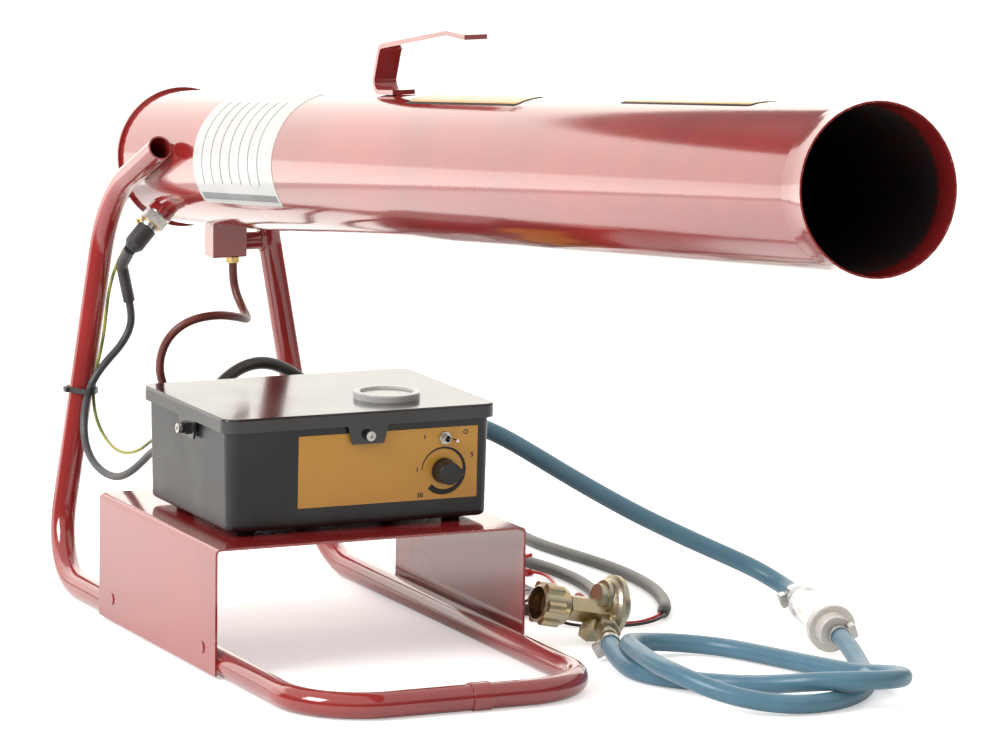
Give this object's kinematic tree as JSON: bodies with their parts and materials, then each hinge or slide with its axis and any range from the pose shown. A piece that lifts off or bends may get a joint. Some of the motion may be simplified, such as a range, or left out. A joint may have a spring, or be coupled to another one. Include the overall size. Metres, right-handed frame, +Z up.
{
  "type": "gas gun bird scarer",
  "caption": "Gas-fired bird scaring cannon: long flared barrel with a strap handle on a bent tube stand, with a control box on a shelf, hoses, a regulator and battery clips.",
  "frame": {"origin": "on the floor under the middle of the rigid parts", "axes": "+Z up, +Y from the muzzle towards the closed end, +X across the stand towards the gas port of the box"},
  "size_m": [0.5579, 1.4221, 0.585],
  "materials": {
    "black_plastic": "satin moulded plastic",
    "blue_hose": "extruded hose",
    "brass": "machined",
    "brown_hose": "rubber hose",
    "ceramic": "glazed",
    "chrome": "polished",
    "clear_plastic": "clear moulded acrylic",
    "green_board": "solder mask",
    "grey_lead": "sheathed cable",
    "red_paint": "glossy enamel",
    "red_plastic": "insulation and sleeves",
    "rubber": "matt rubber",
    "steel": "bright zinc plate",
    "white_plastic": "moulded",
    "yellow_panel": "printed sheet, left bare",
    "yellow_wire": "insulation",
    "zinc": "yellow passivated die casting"
  },
  "bodies": {
    "frame_and_box": {"barrel_tube": "red_paint", "battery_gland": "black_plastic", "battery_lead": "grey_lead", "black_clip_base": "steel", "black_wire": "rubber", "box_base": "black_plastic", "box_feet": "rubber", "box_lid": "black_plastic", "cable_tie": "black_plastic", "carry_handle": "red_paint", "chamber_hose": "brown_hose", "circuit_board": "green_board", "earth_tab": "steel", "earth_terminal": "steel", "earth_wire": "yellow_wire", "faceplate": "yellow_panel", "filter_bowl": "white_plastic", "filter_cap": "white_plastic", "filter_clamps": "steel", "frame_joint_ring": "red_paint", "frame_tube_left": "red_paint", "frame_tube_right": "red_paint", "gas_outlet": "brass", "gas_port": "brass", "hose_box_to_filter": "blue_hose", "hose_filter_to_regulator": "blue_hose", "ignition_coil": "black_plastic", "ignition_lead": "rubber", "inlet_block": "red_paint", "inlet_nipple": "brass", "inlet_stem": "brass", "lid_clips": "black_plastic", "lid_gasket": "rubber", "lid_screws": "steel", "plug_boot": "rubber", "plug_boss": "red_paint", "plug_insulator": "ceramic", "rear_cap": "red_paint", "red_clip_base": "red_plastic", "red_wire": "red_plastic", "regulator_body": "zinc", "regulator_cap": "zinc", "regulator_clamp": "steel", "regulator_outlet": "brass", "sensor_ring": "clear_plastic", "sensor_window": "clear_plastic", "shelf": "red_paint", "solenoid_valve": "black_plastic", "spark_plug": "steel", "timer_pot": "steel", "toggle_switch": "steel", "weld_beads": "red_paint", "wire_grommets": "rubber"},
    "toggle_lever": {"toggle_lever": "chrome"},
    "timer_knob": {"timer_knob": "black_plastic", "timer_shaft": "steel"},
    "inlet_nut": {"inlet_nut": "zinc"},
    "valve_plunger": {"valve_plunger": "steel"},
    "red_clip_jaw": {"red_clip_jaw": "red_plastic"},
    "black_clip_jaw": {"black_clip_jaw": "steel"}
  },
  "joints": [
    {"name": "toggle_swing", "type": "hinge", "parent": "frame_and_box", "child": "toggle_lever", "pos_m": [0.082, 0.25629, 0.18556], "axis": [0, -0.0209, 0.9998], "range_deg": [-28, 0]},
    {"name": "timer_turn", "type": "hinge", "parent": "frame_and_box", "child": "timer_knob", "pos_m": [0.0815, 0.25809, 0.15699], "axis": [0, -0.9998, -0.0209], "range_deg": [-45, 225]},
    {"name": "nut_spin", "type": "hinge", "parent": "frame_and_box", "child": "inlet_nut", "pos_m": [0.23771, 0.25091, 0.02214], "axis": [-0.9742, -0.068, 0.2151], "continuous": true},
    {"name": "plunger_lift", "type": "slide", "parent": "frame_and_box", "child": "valve_plunger", "axis": [0, 0, 1], "range_m": [0, 0.003]},
    {"name": "red_clip_bite", "type": "hinge", "parent": "frame_and_box", "child": "red_clip_jaw", "pos_m": [0.2664, 0.5508, 0.00703], "axis": [0.8, 0.6, 0], "range_deg": [0, 18], "stiffness_Nm_per_rad": 0.08, "springref_deg": -20.05},
    {"name": "black_clip_bite", "type": "hinge", "parent": "frame_and_box", "child": "black_clip_jaw", "pos_m": [0.2348, 0.4564, 0.00703], "axis": [-0.6, -0.8, 0], "range_deg": [0, 18], "stiffness_Nm_per_rad": 0.08, "springref_deg": -20.05}
  ]
}
